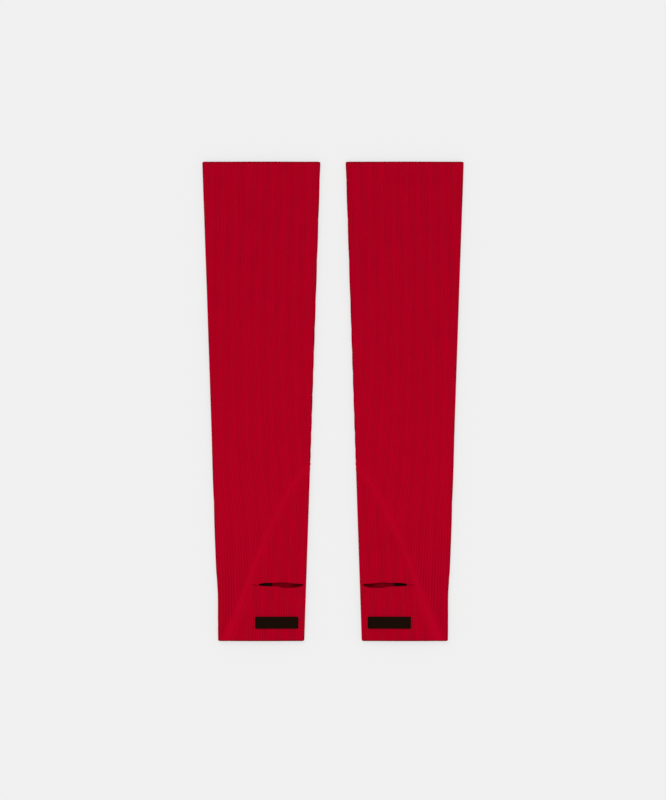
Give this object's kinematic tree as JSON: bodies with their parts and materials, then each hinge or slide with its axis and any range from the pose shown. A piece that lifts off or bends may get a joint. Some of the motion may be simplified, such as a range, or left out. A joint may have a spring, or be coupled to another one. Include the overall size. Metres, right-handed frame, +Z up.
{
  "type": "pair of compression arm sleeves",
  "caption": "Pair of tapering rib-knit compression arm sleeves laid flat, each with a wrist panel below a diagonal seam, a slit and a woven label.",
  "frame": {"origin": "on the surface that the pair lies on, half way between the two sleeves and half way along them", "axes": "+Y along the sleeves from the wrists to the upper arms, +Z up from the surface, +X to the right as seen from above with the wrists nearest"},
  "size_m": [0.2294, 0.42, 0.005],
  "materials": {
    "rib_knit": "matt elastic rib knit, plain red",
    "seam_tape": "smooth flat knitted tape, red",
    "woven_label": "black woven polyester"
  },
  "bodies": {
    "root": {"main_panel_left": "rib_knit", "main_panel_right": "rib_knit", "wrist_panel_left": "rib_knit", "wrist_panel_right": "rib_knit", "diagonal_tape_left": "seam_tape", "diagonal_tape_right": "seam_tape", "closing_tape_left": "seam_tape", "closing_tape_right": "seam_tape", "woven_label_left": "woven_label", "woven_label_right": "woven_label", "inner_patch_left": "woven_label", "inner_patch_right": "woven_label"}
  },
  "joints": []
}
